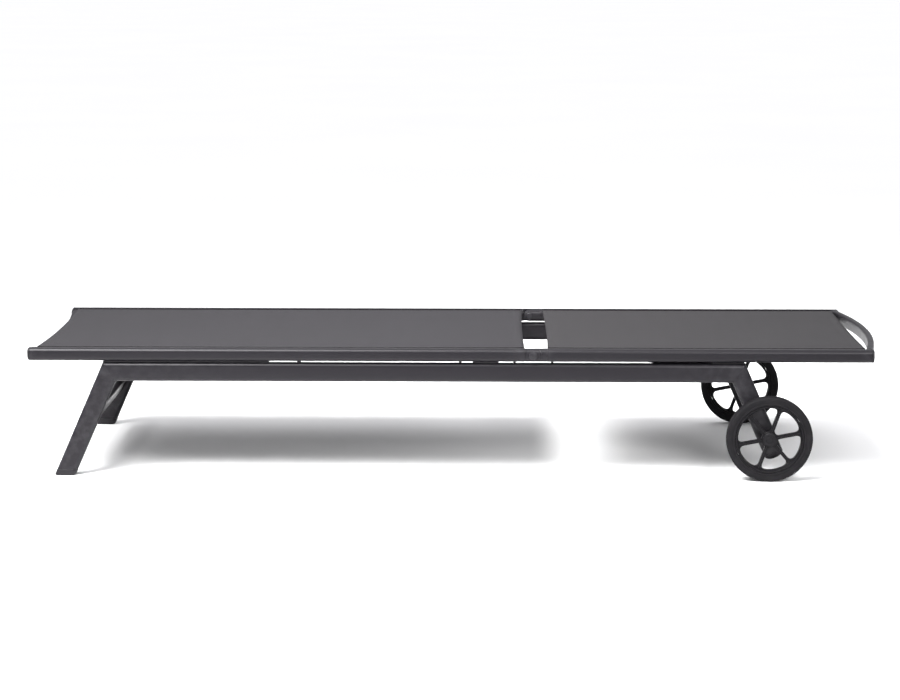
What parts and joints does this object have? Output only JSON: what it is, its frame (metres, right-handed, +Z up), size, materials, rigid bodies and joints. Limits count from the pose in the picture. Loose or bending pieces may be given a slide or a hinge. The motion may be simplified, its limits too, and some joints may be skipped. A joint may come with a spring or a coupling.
{
  "type": "sun lounger",
  "caption": "Low flat-lying sun lounger: aluminium frame with stretched mesh slings, hinged backrest on a notched prop, slanted legs and wheels at the head end.",
  "frame": {"origin": "on the ground, under the middle of the whole lounger", "axes": "+X toward the head end, +Z up, -Y is the user's left"},
  "size_m": [2, 0.712, 0.304],
  "materials": {
    "frame_paint": "satin anthracite powder coat",
    "cap_plastic": "satin",
    "bolt_cap": "satin",
    "wheel_plastic": "satin",
    "tyre_rubber": "matte",
    "pad_rubber": "matte",
    "sling_cloth": "matte woven mesh",
    "keder_cord": "matte",
    "zinc_steel": "satin"
  },
  "bodies": {
    "base": {"base_rail_left": "frame_paint", "base_rail_right": "frame_paint", "front_leg_left": "frame_paint", "front_leg_right": "frame_paint", "rear_leg_left": "frame_paint", "rear_leg_right": "frame_paint", "foot_cap_left": "cap_plastic", "foot_cap_right": "cap_plastic", "rear_cap_left": "cap_plastic", "rear_cap_right": "cap_plastic", "seat_rail_left": "frame_paint", "seat_rail_right": "frame_paint", "seat_end_cap_left": "cap_plastic", "seat_end_cap_right": "cap_plastic", "seat_keder_left": "keder_cord", "seat_keder_right": "keder_cord", "hinge_fixed_left": "frame_paint", "hinge_fixed_right": "frame_paint", "pivot_bolt_left": "bolt_cap", "pivot_bolt_right": "bolt_cap", "prop_rack_left": "frame_paint", "prop_rack_right": "frame_paint", "spacer_front_left": "cap_plastic", "spacer_front_right": "cap_plastic", "spacer_middle_left": "cap_plastic", "spacer_middle_right": "cap_plastic", "spacer_rear_left": "cap_plastic", "spacer_rear_right": "cap_plastic", "rest_pad_left": "pad_rubber", "rest_pad_right": "pad_rubber", "foot_bar": "frame_paint", "front_crossbar": "frame_paint", "middle_crossbar": "frame_paint", "rear_crossbar": "frame_paint", "seat_sling": "sling_cloth", "axle": "zinc_steel"},
    "backrest": {"back_rail_left": "frame_paint", "back_rail_right": "frame_paint", "back_end_cap_left": "cap_plastic", "back_end_cap_right": "cap_plastic", "back_keder_left": "keder_cord", "back_keder_right": "keder_cord", "hinge_moving_left": "frame_paint", "hinge_moving_right": "frame_paint", "prop_bracket_left": "frame_paint", "prop_bracket_right": "frame_paint", "head_bar": "frame_paint", "back_crossbar_lower": "frame_paint", "back_crossbar_upper": "frame_paint", "back_sling": "sling_cloth"},
    "prop": {"prop_arm_left": "frame_paint", "prop_arm_right": "frame_paint", "prop_foot_bar": "frame_paint"},
    "wheel_left": {"wheel_rim_left": "wheel_plastic", "tyre_left": "tyre_rubber", "hub_cap_left": "wheel_plastic"},
    "wheel_right": {"wheel_rim_right": "wheel_plastic", "tyre_right": "tyre_rubber", "hub_cap_right": "wheel_plastic"}
  },
  "joints": [
    {"name": "backrest_recline", "type": "hinge", "parent": "base", "child": "backrest", "pos_m": [0.178, 0, 0.289], "axis": [0, -1, 0], "range_deg": [0, 65]},
    {"name": "prop_swing", "type": "hinge", "parent": "backrest", "child": "prop", "pos_m": [0.409, 0, 0.2815], "axis": [0, -1, 0], "range_deg": [-130, 0]},
    {"name": "wheel_left_spin", "type": "hinge", "parent": "base", "child": "wheel_left", "pos_m": [0.726, -0.34, 0.1], "axis": [0, 1, 0], "continuous": true},
    {"name": "wheel_right_spin", "type": "hinge", "parent": "base", "child": "wheel_right", "pos_m": [0.726, 0.34, 0.1], "axis": [0, 1, 0], "continuous": true}
  ],
  "couplings": [
    {"joint": "prop_swing", "follows": "backrest_recline", "ratio": -2}
  ]
}
